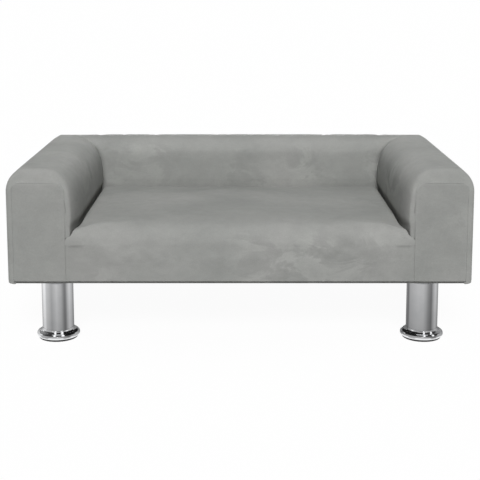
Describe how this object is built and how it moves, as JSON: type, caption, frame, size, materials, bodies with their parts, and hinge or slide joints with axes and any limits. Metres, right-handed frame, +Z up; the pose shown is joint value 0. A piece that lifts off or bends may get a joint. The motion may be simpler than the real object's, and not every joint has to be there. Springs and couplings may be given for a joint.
{
  "type": "dog sofa bed",
  "caption": "Low upholstered dog sofa with rolled arms, a straight back and a fixed padded seat, standing on short chrome tube legs with wide round feet.",
  "frame": {"origin": "bottom centre of the bounding box, on the floor under the middle of the body", "axes": "+X to the right of someone facing the front, along the length; front faces -Y; +Z up"},
  "size_m": [0.7, 0.4, 0.268],
  "materials": {
    "velvet": "short pile velvet, warm grey, cloudy nap",
    "foam": "soft open cell foam, cream, matt",
    "frame_wood": "raw birch plywood and pine, unfinished",
    "chrome": "bright chrome plating",
    "steel": "zinc plated steel",
    "glide_black": "matt black plastic glide",
    "dust_cloth": "thin black non-woven cloth"
  },
  "bodies": {
    "root": {"back_cover": "velvet", "back_foam": "foam", "back_inner_panel": "frame_wood", "back_outer_panel": "frame_wood", "back_top_board": "frame_wood", "base_panel": "frame_wood", "base_screws": "steel", "centre_rail": "frame_wood", "deck_screws": "steel", "dust_cover": "dust_cloth", "front_left_foot_ring": "chrome", "front_left_glide": "glide_black", "front_left_leg_plate": "steel", "front_left_leg_tube": "chrome", "front_rail": "frame_wood", "front_right_foot_ring": "chrome", "front_right_glide": "glide_black", "front_right_leg_plate": "steel", "front_right_leg_tube": "chrome", "left_arm_cover": "velvet", "left_arm_foam": "foam", "left_arm_front_board": "frame_wood", "left_arm_front_cover": "velvet", "left_arm_front_foam": "foam", "left_arm_inner_panel": "frame_wood", "left_arm_outer_panel": "frame_wood", "left_arm_rear_board": "frame_wood", "left_arm_rear_foam": "foam", "left_arm_top_board": "frame_wood", "leg_bolts": "steel", "rear_cover": "velvet", "rear_foam": "foam", "rear_left_foot_ring": "chrome", "rear_left_glide": "glide_black", "rear_left_leg_plate": "steel", "rear_left_leg_tube": "chrome", "rear_rail": "frame_wood", "rear_right_foot_ring": "chrome", "rear_right_glide": "glide_black", "rear_right_leg_plate": "steel", "rear_right_leg_tube": "chrome", "right_arm_cover": "velvet", "right_arm_foam": "foam", "right_arm_front_board": "frame_wood", "right_arm_front_cover": "velvet", "right_arm_front_foam": "foam", "right_arm_inner_panel": "frame_wood", "right_arm_outer_panel": "frame_wood", "right_arm_rear_board": "frame_wood", "right_arm_rear_foam": "foam", "right_arm_top_board": "frame_wood", "seat_cover": "velvet", "seat_deck": "frame_wood", "seat_foam": "foam", "tee_nuts": "steel"}
  },
  "joints": []
}
